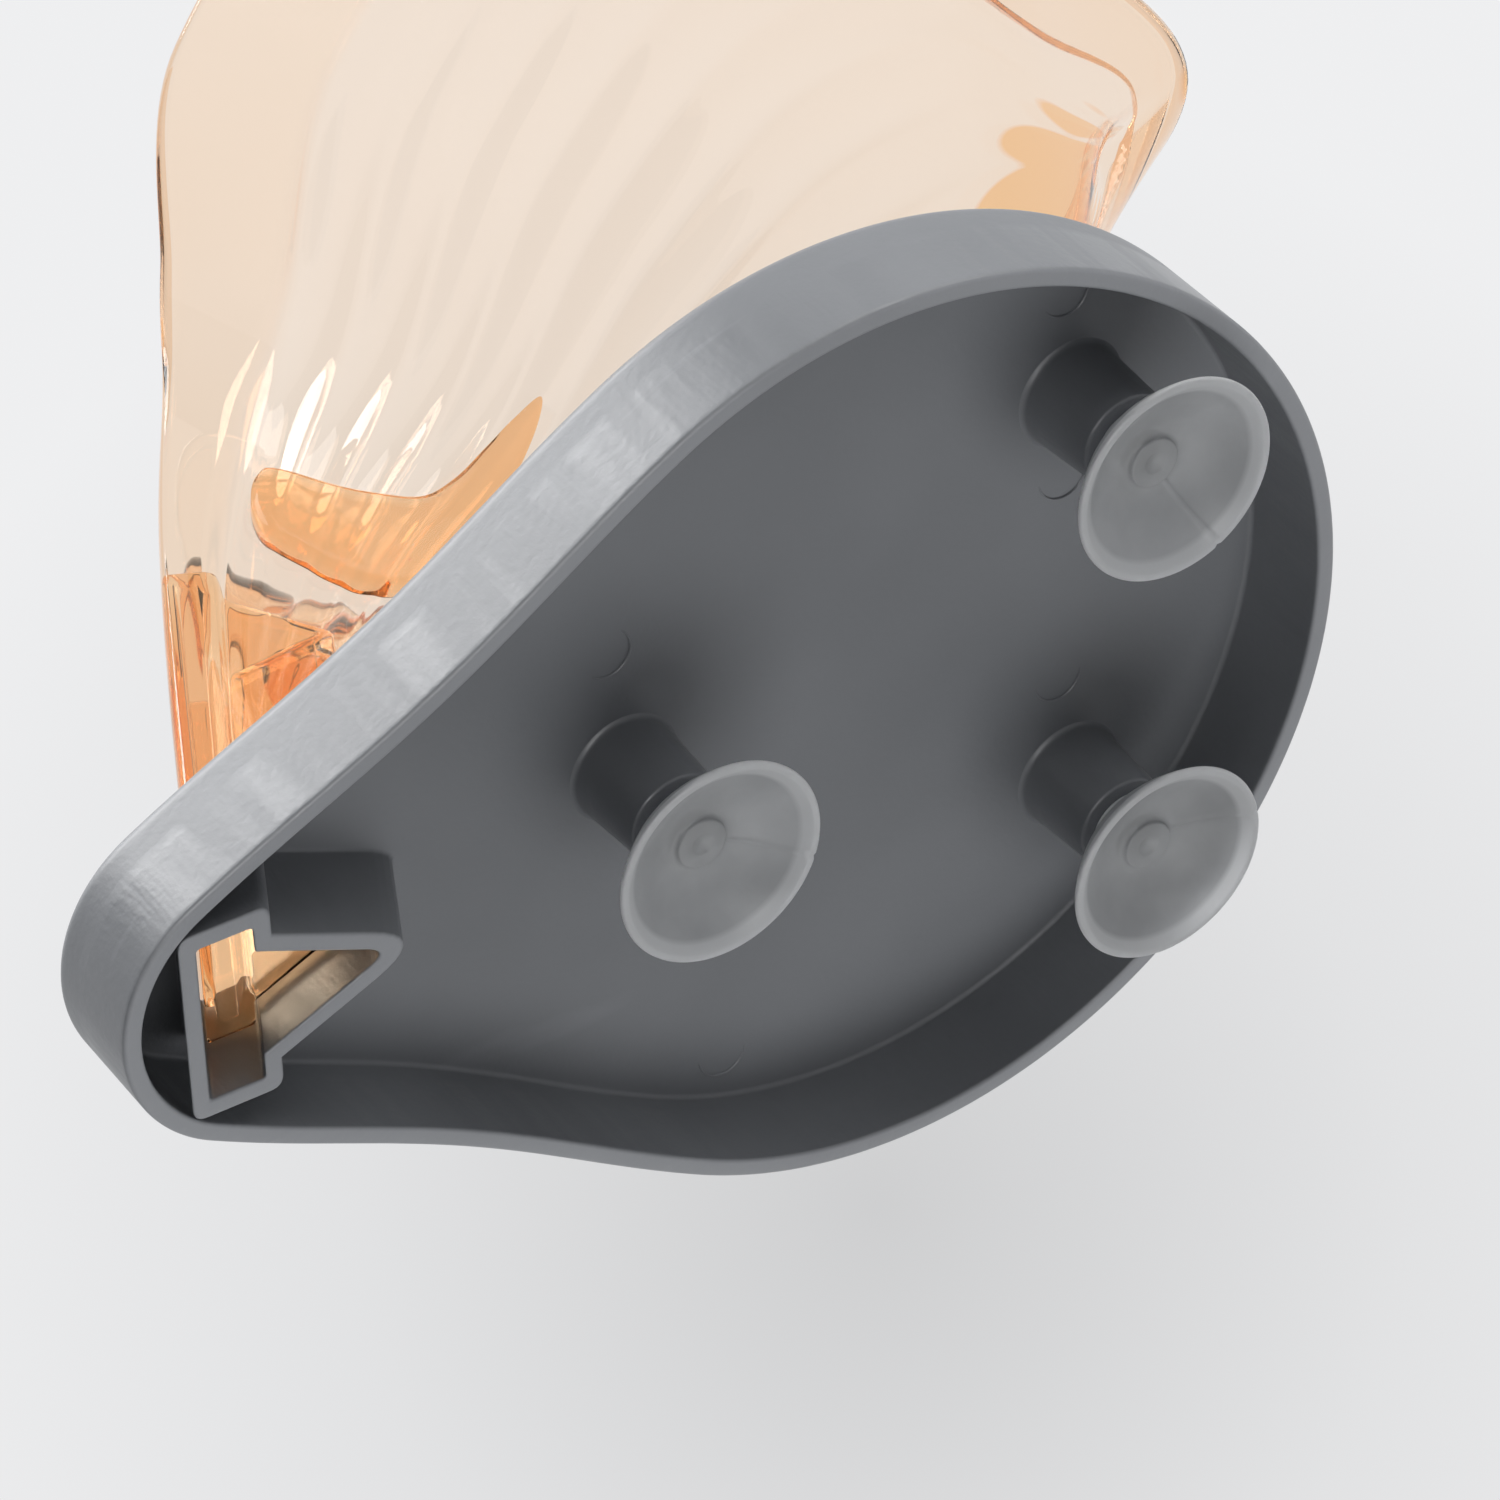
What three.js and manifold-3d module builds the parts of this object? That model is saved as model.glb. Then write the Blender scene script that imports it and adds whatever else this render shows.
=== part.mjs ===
// Self-draining soap dish: a fluted amber leaf bowl whose neck holds an arrow-section stem insert,
// plugged into the slanted socket of a teardrop base that stands on three suction cups.
// Millimetres, +Z up, +X from the narrow end of the base to the leaf's tip, +Y to the left.
import * as THREE from 'three';
import { mergeVertices } from 'three/addons/utils/BufferGeometryUtils.js';
import Module from 'manifold-3d';

const wasm = await Module();
wasm.setup();

// Base tray: x is measured from the rear cup, heights from the ground
const wideRadius = 41.1;
const narrowRadius = 13;
const wideCentreX = 20.5;
const narrowCentreX = -36;
const flankHollow = 1.1;
const standoff = 5.2;
const baseHeight = 11;
const skirtWall = 1.6;
const topWall = 1.8;
const topEdgeRadius = 1.3;

// Posts under the base, each bored for the stem of a suction cup; the front pair stands at shares
// of the wide end's radius
const rearCupX = 0;
const frontCupReach = 0.523;
const frontCupSpread = 0.462;
const frontCupX = wideCentreX + wideRadius * frontCupReach;
const frontCupY = wideRadius * frontCupSpread;
const postRootRadius = 4.6;
const postTipRadius = 4.2;
const postTipRise = 1.1;

// Suction cups
const cupRadius = 9;
const lipWidth = 0.8;
const lipHeight = 0.6;
const cupDepth = 3.3;
const cupWall = 1;
const collarRadius = 3.4;
const cupStemRadius = 2.3;
const cupStemLength = 5;
const bossRadius = 2.2;
const bossHeight = 0.5;

// Stem insert: an arrow section at the base's rim plane, carried up the slanted socket axis
const socketLean = 25;
const stemBackX = -42.1;
const stemBarDepth = 4.2;
const stemHalfWidth = 7;
const stemNotchHalfWidth = 4.8;
const stemTipX = -27;
const stemTipRadius = 0.7;
const stemWall = 1;
const stemBottomRise = 5.6;
const stemTopRise = 42.1;
const socketWall = 1.5;

// Leaf bowl: rim plan from the hinge to the tip, heights above the ground
const leafWall = 1.6;
const rimWall = 2.6;
const rimHeight = 73;
const leafHalfWidth = 52;
const hingeX = -8.1;
const leafLength = 101.5;
const tipDrop = 2.4;
const bowRake = 13;
const bowHeight = 4.6;
const floorElbow = 29;
const floorRun = 85.3;
const floorSag = 27;
const throatX = -11.8;
const throatHeight = 65.6;
const fluteCount = 9;
const fluteDepth = 0.8;
const fluteFadeIn = [0.04, 0.3];
const fluteFadeOut = [0.8, 1];
const rimBandStart = 0.82;

// Rim plan between the hinge and the tip: share of the length, share of the half width
const rimShoulder = [0.036, 0.721];
const rimWidest = [0.22, 1];
const rimTaper = [0.562, 0.889];
const rimNearTip = [0.869, 0.364];
const hingeWidthShare = 0.337;

// Clearances between separate pieces
const fitGap = 0.3;
const neckGap = 0.6;

// Facet counts
const wideSteps = 30;
const narrowSteps = 12;
const flankSteps = 8;
const roundSteps = 22;
const filletSteps = 3;
const tipSteps = 4;
const bellSteps = 4;
const leafRows = 26;
const columnsPerFlute = 3;
const bandColumns = 3;

const plateTop = standoff + baseHeight;
const plateUnder = plateTop - topWall;
const lean = THREE.MathUtils.degToRad(socketLean);
const slant = Math.tan(lean);
const overrun = 2;

function indexed(points, faces) {
  const geometry = new THREE.BufferGeometry();
  geometry.setFromPoints(points);
  geometry.setIndex(faces);
  return geometry;
}

function toSolid(geometry) {
  const bare = geometry.clone();
  bare.deleteAttribute('normal');
  bare.deleteAttribute('uv');
  const merged = mergeVertices(bare, 1e-4);
  const vertProperties = new Float32Array(merged.attributes.position.array);
  const triVerts = new Uint32Array(merged.index.array);
  return new wasm.Manifold(new wasm.Mesh({ numProp: 3, vertProperties, triVerts }));
}

function toGeometry(solid) {
  const mesh = solid.getMesh();
  const geometry = new THREE.BufferGeometry();
  geometry.setAttribute('position', new THREE.BufferAttribute(new Float32Array(mesh.vertProperties), 3));
  geometry.setIndex(new THREE.BufferAttribute(new Uint32Array(mesh.triVerts), 1));
  geometry.computeVertexNormals();
  return geometry;
}

// Side faces between one ring of points and the next, numbered from their first points.
function joinRings(faces, from, to, count) {
  for (let i = 0; i < count; i += 1) {
    const j = (i + 1) % count;
    faces.push(from + i, from + j, to + j, from + i, to + j, to + i);
  }
}

// Solid through a stack of rings, capped at both ends.
function loftRings(rings) {
  const count = rings[0].length;
  const faces = [];
  for (let r = 0; r + 1 < rings.length; r += 1) joinRings(faces, r * count, (r + 1) * count, count);
  const cap = (ring) => {
    const outline = ring.map(({ x, y }) => new THREE.Vector2(x, y));
    return THREE.ShapeUtils.triangulateShape(outline, []);
  };
  const last = (rings.length - 1) * count;
  for (const [a, b, c] of cap(rings[0])) faces.push(a, c, b);
  for (const [a, b, c] of cap(rings.at(-1))) faces.push(last + a, last + b, last + c);
  return indexed(rings.flat(), faces);
}

// Tube wall through rings that come back to the first one.
function loopRings(rings) {
  const count = rings[0].length;
  const faces = [];
  rings.forEach((ring, r) => joinRings(faces, r * count, ((r + 1) % rings.length) * count, count));
  return indexed(rings.flat(), faces);
}

// Solid turned about a vertical axis at x, y, from a profile of radius and height.
function turned(profile, x, y) {
  const points = profile.map(([radius, height]) => new THREE.Vector2(radius, height));
  const geometry = new THREE.LatheGeometry(points, roundSteps);
  geometry.rotateX(Math.PI / 2);
  geometry.translate(x, y, 0);
  return toSolid(geometry);
}

// Teardrop outline: two circles and slightly hollow flanks between them, drawn in by an inset.
function teardrop(inset, z) {
  const tilt = Math.asin((wideRadius - narrowRadius) / (wideCentreX - narrowCentreX));
  const half = Math.PI / 2 + tilt;
  const arc = (centreX, radius, from, to, steps) => Array.from({ length: steps + 1 }, (_, i) => {
    const angle = from + ((to - from) * i) / steps;
    return new THREE.Vector3(centreX + radius * Math.cos(angle), radius * Math.sin(angle), z);
  });
  const wide = arc(wideCentreX, wideRadius - inset, -half, half, wideSteps);
  const narrow = arc(narrowCentreX, narrowRadius - inset, half, 2 * Math.PI - half, narrowSteps);
  const flank = (from, to, outAngle) => Array.from({ length: flankSteps - 1 }, (_, i) => {
    const share = (i + 1) / flankSteps;
    const hollow = flankHollow * Math.sin(Math.PI * share) ** 2;
    const inward = new THREE.Vector3(-Math.cos(outAngle), -Math.sin(outAngle), 0);
    return from.clone().lerp(to, share).addScaledVector(inward, hollow);
  });
  return [
    ...wide, ...flank(wide.at(-1), narrow[0], half),
    ...narrow, ...flank(narrow.at(-1), wide[0], -half),
  ];
}

// Arrow outline at the rim plane, grown by an offset: a flat bar at the back, notches, a round tip.
function arrow(offset) {
  const barFront = stemBackX + stemBarDepth;
  const flank = Math.atan2(stemNotchHalfWidth, stemTipX - barFront);
  const sharpTip = stemTipX + offset / Math.sin(flank);
  const radius = Math.max(stemTipRadius + offset, stemTipRadius / 4);
  const tipCentre = sharpTip - radius / Math.sin(flank);
  const front = barFront + offset;
  const width = stemHalfWidth + offset;
  const notch = (sharpTip - front) * Math.tan(flank);
  const tip = Array.from({ length: tipSteps + 1 }, (_, i) => {
    const angle = (Math.PI / 2 - flank) * ((2 * i) / tipSteps - 1);
    return [tipCentre + radius * Math.cos(angle), radius * Math.sin(angle)];
  });
  const back = stemBackX - offset;
  return [
    [back, width], [back, -width], [front, -width], [front, -notch],
    ...tip, [front, notch], [front, width],
  ];
}

// An outline carried up the socket axis to a rise above the rim plane that may change with x.
function slantedRing(outline, riseAt) {
  return outline.map(([x, y]) => {
    const rise = riseAt(x);
    return new THREE.Vector3(x + slant * rise, y, standoff + rise);
  });
}

function slantedPrism(offset, fromRise, toRise) {
  const outline = arrow(offset);
  return toSolid(loftRings([slantedRing(outline, () => fromRise), slantedRing(outline, () => toRise)]));
}

const cupPlaces = {
  suction_cup_rear: [rearCupX, 0],
  suction_cup_front_left: [frontCupX, frontCupY],
  suction_cup_front_right: [frontCupX, -frontCupY],
};

// Hollow tray with a rounded top edge, a slanted socket right through it and three bored posts.
function baseTray() {
  const rings = [teardrop(0, standoff)];
  for (let i = 0; i <= filletSteps; i += 1) {
    const angle = (Math.PI / 2) * (i / filletSteps);
    const inset = topEdgeRadius * (1 - Math.cos(angle));
    rings.push(teardrop(inset, plateTop - topEdgeRadius * (1 - Math.sin(angle))));
  }
  const body = toSolid(loftRings(rings));
  const cavityRings = [teardrop(skirtWall, standoff - overrun), teardrop(skirtWall, plateUnder)];
  const cavity = toSolid(loftRings(cavityRings));
  const socket = slantedPrism(fitGap + socketWall, 0, baseHeight).intersect(body);
  const passage = slantedPrism(fitGap, -overrun, baseHeight + overrun);
  const bore = cupStemRadius + fitGap;
  const tip = standoff + postTipRise;
  const boreEnd = tip + cupStemLength + fitGap;
  const rootTop = plateUnder + topWall / 2;
  const profile = [
    [0, boreEnd], [bore, boreEnd], [bore, tip], [postTipRadius, tip], [postRootRadius, rootTop], [0, rootTop],
  ];
  let tray = body.subtract(cavity).add(socket);
  for (const [x, y] of Object.values(cupPlaces)) tray = tray.add(turned(profile, x, y));
  return toGeometry(tray.subtract(passage));
}

// Profile of a bell from its crown out to its lip, flat at the crown and steeper at the lip.
function bell(crownRadius, crownHeight, edgeRadius, edgeHeight) {
  const steepening = 1.6;
  return Array.from({ length: bellSteps + 1 }, (_, i) => {
    const share = i / bellSteps;
    const fall = share ** steepening;
    return [
      crownRadius + (edgeRadius - crownRadius) * share,
      crownHeight + (edgeHeight - crownHeight) * fall,
    ];
  });
}

// A cup with its lip on the ground, its collar under the post and its stem up the bore.
function suctionCup([x, y]) {
  const collarTop = standoff + postTipRise - fitGap;
  const stemTop = collarTop + cupStemLength;
  const outside = bell(collarRadius, cupDepth + cupWall, cupRadius, lipHeight);
  const inside = bell(bossRadius, cupDepth, cupRadius - lipWidth, 0);
  const profile = [
    [0, cupDepth - bossHeight], [bossRadius, cupDepth - bossHeight], ...inside,
    [cupRadius, 0], ...outside.reverse(),
    [collarRadius, collarTop], [cupStemRadius, collarTop], [cupStemRadius, stemTop], [0, stemTop],
  ];
  return toGeometry(turned(profile, x, y));
}

// Slanted arrow tube, level at the bottom and cut square to its own axis at the top.
function stemInsert() {
  const squareFall = Math.sin(lean) * Math.cos(lean);
  const topRise = (x) => stemTopRise - (x - stemBackX) * squareFall;
  const bottomRise = () => stemBottomRise;
  const outer = arrow(0);
  const inner = arrow(-stemWall);
  return loopRings([
    slantedRing(outer, bottomRise), slantedRing(outer, topRise),
    slantedRing(inner, topRise), slantedRing(inner, bottomRise),
  ]);
}

// The leaf's two guide curves. The floor line rises from the neck to the foot of the bow;
// the rim climbs both edges of the neck, turns out at the hinge and closes at the tip.
function leafCurves() {
  const seat = plateTop + fitGap;
  const stemTop = standoff + stemTopRise;
  const backAt = (height) => stemBackX + slant * (height - standoff);
  const frontAt = (height) => stemTipX + slant * (height - standoff);
  const neckHalf = stemHalfWidth + neckGap + rimWall;
  const tipX = hingeX + leafLength;
  const rimPoint = ([length, width], height) => (
    new THREE.Vector3(hingeX + leafLength * length, leafHalfWidth * width, height)
  );
  const floorX = frontAt(seat) + leafWall / Math.cos(lean);
  const floor = new THREE.CubicBezierCurve3(
    new THREE.Vector3(floorX, 0, seat),
    new THREE.Vector3(floorX + slant * floorElbow, 0, seat + floorElbow),
    new THREE.Vector3(floorX + floorRun, 0, rimHeight - tipDrop - bowHeight - floorSag),
    new THREE.Vector3(tipX - bowRake, 0, rimHeight - tipDrop - bowHeight),
  );
  const rimPoints = [
    new THREE.Vector3(backAt(seat) + fitGap, neckHalf, seat),
    new THREE.Vector3(backAt(stemTop) + neckGap, neckHalf, stemTop),
    new THREE.Vector3(throatX, neckHalf + fluteDepth, throatHeight),
    rimPoint([0, hingeWidthShare], rimHeight - tipDrop / 2),
    rimPoint(rimShoulder, rimHeight - tipDrop / 4),
    rimPoint(rimWidest, rimHeight),
    rimPoint(rimTaper, rimHeight),
    rimPoint(rimNearTip, rimHeight),
    new THREE.Vector3(tipX, 0, rimHeight - tipDrop),
  ];
  // A mirrored point past the tip makes the rim round there; the leaf stops at the tip.
  rimPoints.push(rimPoints.at(-2).clone().multiply(new THREE.Vector3(1, -1, 1)));
  const rim = new THREE.CatmullRomCurve3(rimPoints, false, 'catmullrom', 0.5);
  const tipPlace = (rimPoints.length - 2) / (rimPoints.length - 1);
  const rimAt = (u) => rim.getPoint(u * tipPlace);
  return { floor, rimAt };
}

// Outer skin and wall of the left half of the leaf, at u from neck to tip and t from floor to rim.
function leafSkin() {
  const { floor, rimAt } = leafCurves();
  const { smoothstep, lerp } = THREE.MathUtils;
  const plain = (u, t) => {
    const low = floor.getPoint(u);
    const high = rimAt(u);
    const angle = (t * Math.PI) / 2;
    const lift = 1 - Math.cos(angle);
    return new THREE.Vector3(lerp(low.x, high.x, lift), high.y * Math.sin(angle), lerp(low.z, high.z, lift));
  };
  const normal = (u, t) => {
    const step = 1e-3;
    const along = plain(Math.min(u + step, 1), t).sub(plain(Math.max(u - step, 0), t));
    const across = plain(u, Math.min(t + step, 1)).sub(plain(u, Math.max(t - step, 0)));
    return along.cross(across).negate().normalize();
  };
  const ripple = (u, t) => {
    const ends = smoothstep(u, ...fluteFadeIn) * (1 - smoothstep(u, ...fluteFadeOut));
    const wave = (1 - Math.cos((2 * Math.PI * fluteCount * t) / rimBandStart)) / 2;
    return t < rimBandStart ? fluteDepth * ends * wave : 0;
  };
  const wall = (t) => lerp(leafWall, rimWall, smoothstep(t, rimBandStart, (rimBandStart + 1) / 2));
  const outer = (u, t) => plain(u, t).addScaledVector(normal(u, t), -ripple(u, t));
  const inner = (u, t) => plain(u, t).addScaledVector(normal(u, t), -ripple(u, t) - wall(t));
  return { outer, inner };
}

// Where the inner skin of a column meets the middle plane behind the bow.
function innerEnd(inner, t) {
  const halvings = 40;
  const searchFrom = 0.6;
  let low = searchFrom;
  let high = 1;
  for (let i = 0; i < halvings; i += 1) {
    const middle = (low + high) / 2;
    if (inner(middle, t).y > 0) low = middle;
    else high = middle;
  }
  return low;
}

// Grid of the leaf's outer and inner skins, mirrored over the middle plane and closed round its edges.
function leafDish() {
  const { outer, inner } = leafSkin();
  const fluteColumns = fluteCount * columnsPerFlute;
  const shares = Array.from({ length: fluteColumns }, (_, i) => (rimBandStart * i) / fluteColumns);
  for (let i = 0; i <= bandColumns; i += 1) {
    shares.push(rimBandStart + ((1 - rimBandStart) * i) / bandColumns);
  }
  const ends = shares.map((t) => innerEnd(inner, Math.max(t, shares[1])));
  const columns = [...shares.keys()].slice(1).reverse().map((i) => [i, -1]);
  shares.forEach((t, i) => columns.push([i, 1]));
  const width = columns.length;
  const skinPoint = (skin, row, i, side, end) => {
    const point = skin((row / leafRows) * end, shares[i]);
    const closed = i === 0 || row === leafRows;
    return new THREE.Vector3(point.x, closed ? 0 : point.y * side, point.z);
  };
  const points = [];
  for (let row = 0; row <= leafRows; row += 1) {
    for (const [i, side] of columns) points.push(skinPoint(outer, row, i, side, 1));
  }
  for (let row = 0; row <= leafRows; row += 1) {
    for (const [i, side] of columns) points.push(skinPoint(inner, row, i, side, ends[i]));
  }
  const inside = (leafRows + 1) * width;
  const faces = [];
  const quad = (a, b, c, d) => faces.push(a, c, b, a, d, c);
  for (let row = 0; row < leafRows; row += 1) {
    for (let i = 0; i + 1 < width; i += 1) {
      const a = row * width + i;
      quad(a, a + width, a + width + 1, a + 1);
      quad(inside + a, inside + a + 1, inside + a + width + 1, inside + a + width);
    }
    const right = row * width;
    const left = right + width - 1;
    quad(right, inside + right, inside + right + width, right + width);
    quad(left, left + width, inside + left + width, inside + left);
  }
  for (let i = 0; i + 1 < width; i += 1) quad(i, i + 1, inside + i + 1, inside + i);
  return toGeometry(toSolid(indexed(points, faces)));
}

const greyPlastic = new THREE.MeshStandardMaterial({ color: 0x6b6e73, roughness: 0.45, metalness: 0 });
const amberPlastic = new THREE.MeshStandardMaterial({
  color: 0xf0b583, roughness: 0.08, metalness: 0, transparent: true, opacity: 0.55,
});
const clearVinyl = new THREE.MeshStandardMaterial({
  color: 0xb9bcbd, roughness: 0.35, metalness: 0, transparent: true, opacity: 0.75,
});

function piece(name, geometry, material) {
  const mesh = new THREE.Mesh(geometry, material);
  mesh.name = name;
  return mesh;
}

const soapDish = new THREE.Group();
soapDish.add(piece('base_tray', baseTray(), greyPlastic));
soapDish.add(piece('stem_insert', stemInsert(), amberPlastic));
soapDish.add(piece('leaf_dish', leafDish(), amberPlastic));
for (const [name, place] of Object.entries(cupPlaces)) {
  soapDish.add(piece(name, suctionCup(place), clearVinyl));
}

// The origin lies on the ground, under the middle of the whole object.
const box = new THREE.Box3().setFromObject(soapDish, true);
soapDish.position.x = -(box.min.x + box.max.x) / 2;

export default soapDish;
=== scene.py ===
import math

import bmesh
import bpy
import numpy as np
from mathutils import Euler, Matrix, Vector


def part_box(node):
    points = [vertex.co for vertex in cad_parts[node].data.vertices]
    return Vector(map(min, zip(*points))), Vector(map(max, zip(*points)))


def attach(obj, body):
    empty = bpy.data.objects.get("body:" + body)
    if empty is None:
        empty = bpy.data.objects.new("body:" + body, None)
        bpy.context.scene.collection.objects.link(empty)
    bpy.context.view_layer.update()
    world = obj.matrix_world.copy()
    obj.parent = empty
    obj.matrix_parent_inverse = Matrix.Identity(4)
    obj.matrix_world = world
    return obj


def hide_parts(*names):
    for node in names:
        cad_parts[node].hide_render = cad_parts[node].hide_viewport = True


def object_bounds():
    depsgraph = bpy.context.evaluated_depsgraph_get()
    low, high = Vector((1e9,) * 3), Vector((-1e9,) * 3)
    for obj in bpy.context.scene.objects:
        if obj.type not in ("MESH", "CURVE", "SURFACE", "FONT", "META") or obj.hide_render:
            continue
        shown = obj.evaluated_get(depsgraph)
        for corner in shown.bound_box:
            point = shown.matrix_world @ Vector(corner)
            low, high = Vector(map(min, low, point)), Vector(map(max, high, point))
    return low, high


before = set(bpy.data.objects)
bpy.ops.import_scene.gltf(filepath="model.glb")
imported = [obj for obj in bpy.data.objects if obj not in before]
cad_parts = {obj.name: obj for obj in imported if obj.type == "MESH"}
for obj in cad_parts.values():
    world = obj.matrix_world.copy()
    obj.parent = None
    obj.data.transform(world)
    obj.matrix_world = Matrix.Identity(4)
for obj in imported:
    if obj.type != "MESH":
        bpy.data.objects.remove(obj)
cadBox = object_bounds()
mm = 0.001


# Frame: the rear cup's axis, the base and the socket give every place below.
def middleX(node):
    low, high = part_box(node)
    return (low.x + high.x) / 2


rearX = middleX("suction_cup_rear")
baseLow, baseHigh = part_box("base_tray")
stemLow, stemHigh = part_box("stem_insert")
print("frame loaded, rear cup at x", round(rearX, 5))


# Mesh helpers
def gridFaces(rows, columns, closeRows=False, closeColumns=False, start=0):
    # quads of a rows x columns grid of points, wrapped where asked
    r = np.arange(rows if closeRows else rows - 1)
    c = np.arange(columns if closeColumns else columns - 1)
    r, c = np.meshgrid(r, c, indexing="ij")
    rn = (r + 1) % rows
    cn = (c + 1) % columns
    quads = np.stack([r * columns + c, r * columns + cn, rn * columns + cn, rn * columns + c], -1)
    return quads.reshape(-1, 4) + start


def makePiece(name, points, faces, paint, body, slot, nodes, marks=None):
    mesh = bpy.data.meshes.new(name)
    mesh.from_pydata(points.reshape(-1, 3).tolist(), [], [list(f) for f in faces])
    if marks is not None:
        layer = mesh.attributes.new("flute", "FLOAT", "POINT")
        layer.data.foreach_set("value", marks.astype(np.float32).ravel())
    work = bmesh.new()
    work.from_mesh(mesh)
    bmesh.ops.remove_doubles(work, verts=work.verts, dist=2e-7)
    bmesh.ops.dissolve_degenerate(work, dist=1e-7, edges=work.edges)
    bmesh.ops.recalc_face_normals(work, faces=work.faces)
    work.to_mesh(mesh)
    work.free()
    mesh.polygons.foreach_set("use_smooth", np.ones(len(mesh.polygons), bool))
    mesh.update()
    piece = bpy.data.objects.new(name, mesh)
    bpy.context.scene.collection.objects.link(piece)
    piece.data.materials.append(paint)
    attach(piece, body)
    if nodes:
        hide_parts(*nodes)
    print("made", name, len(mesh.polygons), "faces")
    return piece


def stackGrids(grids):
    # several (points, faces) pairs as one
    points = []
    faces = []
    count = 0
    for gridPoints, gridQuads in grids:
        flat = gridPoints.reshape(-1, 3)
        points.append(flat)
        faces.extend((np.asarray(gridQuads) + count).tolist())
        count += len(flat)
    return np.concatenate(points), faces


def turnedGrid(profile, x, y, steps):
    # a profile of radius and height turned about a vertical axis
    profile = np.asarray(profile, float)
    angle = np.linspace(0, 2 * np.pi, steps, endpoint=False)
    radius = profile[:, 0][:, None]
    height = profile[:, 1][:, None] + 0 * angle
    points = np.stack([x + radius * np.cos(angle), y + radius * np.sin(angle), height], -1)
    return points, gridFaces(len(profile), steps, closeColumns=True)


def smoothStep(value, low, high):
    share = np.clip((value - low) / (high - low), 0, 1)
    return share * share * (3 - 2 * share)


def arcPoints(centre, radius, fromDeg, toDeg, steps):
    # points of an arc in a plane, first to last angle
    angle = np.radians(np.linspace(fromDeg, toDeg, steps))
    return np.stack([centre[0] + radius * np.cos(angle), centre[1] + radius * np.sin(angle)], -1)


# Shader helpers: a Wire is a socket that takes part in Python maths.
class Wire:
    def __init__(self, paint, socket):
        self.paint = paint
        self.socket = socket

    def maths(self, operation, first, second):
        return self.paint.node("ShaderNodeMath", {"operation": operation}, {0: first, 1: second})

    def __add__(self, other):
        return self.maths("ADD", self, other)

    def __radd__(self, other):
        return self.maths("ADD", other, self)

    def __sub__(self, other):
        return self.maths("SUBTRACT", self, other)

    def __rsub__(self, other):
        return self.maths("SUBTRACT", other, self)

    def __mul__(self, other):
        return self.maths("MULTIPLY", self, other)

    def __rmul__(self, other):
        return self.maths("MULTIPLY", other, self)


class Paint:
    def __init__(self, owner):
        self.owner = owner
        owner.use_nodes = True
        self.tree = owner.node_tree
        self.tree.nodes.clear()

    def node(self, kind, settings=None, inputs=None, output=0):
        made = self.tree.nodes.new(kind)
        for key, value in (settings or {}).items():
            if key == "stops":
                ramp = made.color_ramp
                while len(ramp.elements) < len(value):
                    ramp.elements.new(0.5)
                for element, (place, colour) in zip(ramp.elements, value):
                    element.position = place
                    element.color = colour
            else:
                setattr(made, key, value)
        for key, value in (inputs or {}).items():
            socket = self.socketOf(made.inputs, key)
            if isinstance(value, Wire):
                self.tree.links.new(value.socket, socket)
            else:
                socket.default_value = value
        return Wire(self, self.socketOf(made.outputs, output))

    def socketOf(self, sockets, key):
        # a socket by place, or the live one of several that share a name
        if isinstance(key, int):
            return sockets[key]
        return next(found for found in sockets if found.name == key and found.enabled)

    def place(self):
        return self.node("ShaderNodeTexCoord", output="Object")

    def noise(self, scale, detail=2.0, stretch=(1, 1, 1)):
        spot = self.node("ShaderNodeMapping", {}, {"Vector": self.place(), "Scale": stretch})
        return self.node("ShaderNodeTexNoise", {}, {"Vector": spot, "Scale": scale, "Detail": detail})

    def axes(self):
        spot = self.place()
        return [self.node("ShaderNodeSeparateXYZ", {}, {0: spot}, axis) for axis in "XYZ"]

    def clamped(self, value):
        return self.node("ShaderNodeClamp", {}, {"Value": value})

    def blend(self, share, first, second):
        return self.node(
            "ShaderNodeMix", {"data_type": "RGBA"}, {"Factor": share, "A": first, "B": second}, "Result"
        )

    def ramp(self, value, stops):
        return self.node("ShaderNodeValToRGB", {"stops": stops}, {"Fac": value})

    def bump(self, height, strength, distance):
        inputs = {"Height": height, "Strength": strength, "Distance": distance}
        return self.node("ShaderNodeBump", {}, inputs)

    def finish(self, surface, volume=None, output="ShaderNodeOutputMaterial"):
        out = self.tree.nodes.new(output)
        self.tree.links.new(surface.socket, out.inputs["Surface"])
        if volume:
            self.tree.links.new(volume.socket, out.inputs["Volume"])
        return self.owner


greyLook = {
    "dark": (0.150, 0.157, 0.168, 1),
    "light": (0.192, 0.200, 0.214, 1),
    # pale colour of the scuffs, also laid on the rim edge as wear and as painted light
    "scuffAndLitRim": (0.34, 0.35, 0.37, 1),
    "rimHeight": 0.0055,
    "rimSharp": 2500,
    "grainScale": 1500,
    "cloudScale": 28,
    "scuffScale": 70,
    "scuffStretch": (0.3, 1, 5),
    "scuffShare": 0.18,
    "streakScale": 350,
    "streakStretch": (1, 1, 0.12),
    "streakTop": 0.0128,
    "streakSharp": 1000,
}


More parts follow.
